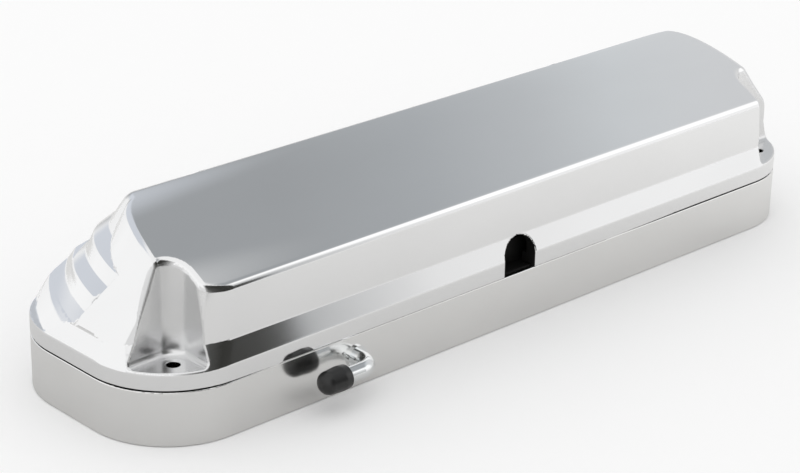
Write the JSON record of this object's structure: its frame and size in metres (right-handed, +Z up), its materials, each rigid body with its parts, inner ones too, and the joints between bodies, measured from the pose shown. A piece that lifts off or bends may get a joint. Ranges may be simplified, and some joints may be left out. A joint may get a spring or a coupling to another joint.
{
  "type": "engine valve cover",
  "caption": "Two-piece polished cast-aluminium engine valve cover: a crowned coil cover bolted over a straight-sided base, with a capped vent tube.",
  "frame": {"origin": "centre of the head rail on the head face, half way between the two inner head bolts", "axes": "+X along the head rail towards the plain slanted end, +Z up from the cylinder head, -Y towards the long side with the wire notch and the vent tube"},
  "size_m": [0.44, 0.1356, 0.086],
  "materials": {
    "polished_alloy": "mirror polished",
    "satin_alloy": "brushed satin polish",
    "seal_rubber": "matt black",
    "gasket_rubber": "matt black",
    "plated_tube": "bright plated",
    "cap_rubber": "satin black",
    "baffle_sheet": "plain sheet",
    "zinc_screw": "zinc plated",
    "sleeve_steel": "turned",
    "grommet_rubber": "matt black",
    "insert_brass": "turned"
  },
  "bodies": {
    "root": {"cover": "polished_alloy", "base": "satin_alloy", "parting_seal": "seal_rubber", "head_gasket": "gasket_rubber", "vent_tube": "plated_tube", "tube_collar": "plated_tube", "vent_cap": "cap_rubber", "baffle_plate": "baffle_sheet", "baffle_screws": "zinc_screw", "coil_studs": "zinc_screw", "bolt_sleeve_1": "sleeve_steel", "bolt_sleeve_2": "sleeve_steel", "bolt_sleeve_3": "sleeve_steel", "bolt_sleeve_4": "sleeve_steel", "bolt_grommet_1": "grommet_rubber", "bolt_grommet_2": "grommet_rubber", "bolt_grommet_3": "grommet_rubber", "bolt_grommet_4": "grommet_rubber", "thread_insert_1": "insert_brass", "thread_insert_2": "insert_brass", "thread_insert_3": "insert_brass", "thread_insert_4": "insert_brass"}
  },
  "joints": []
}
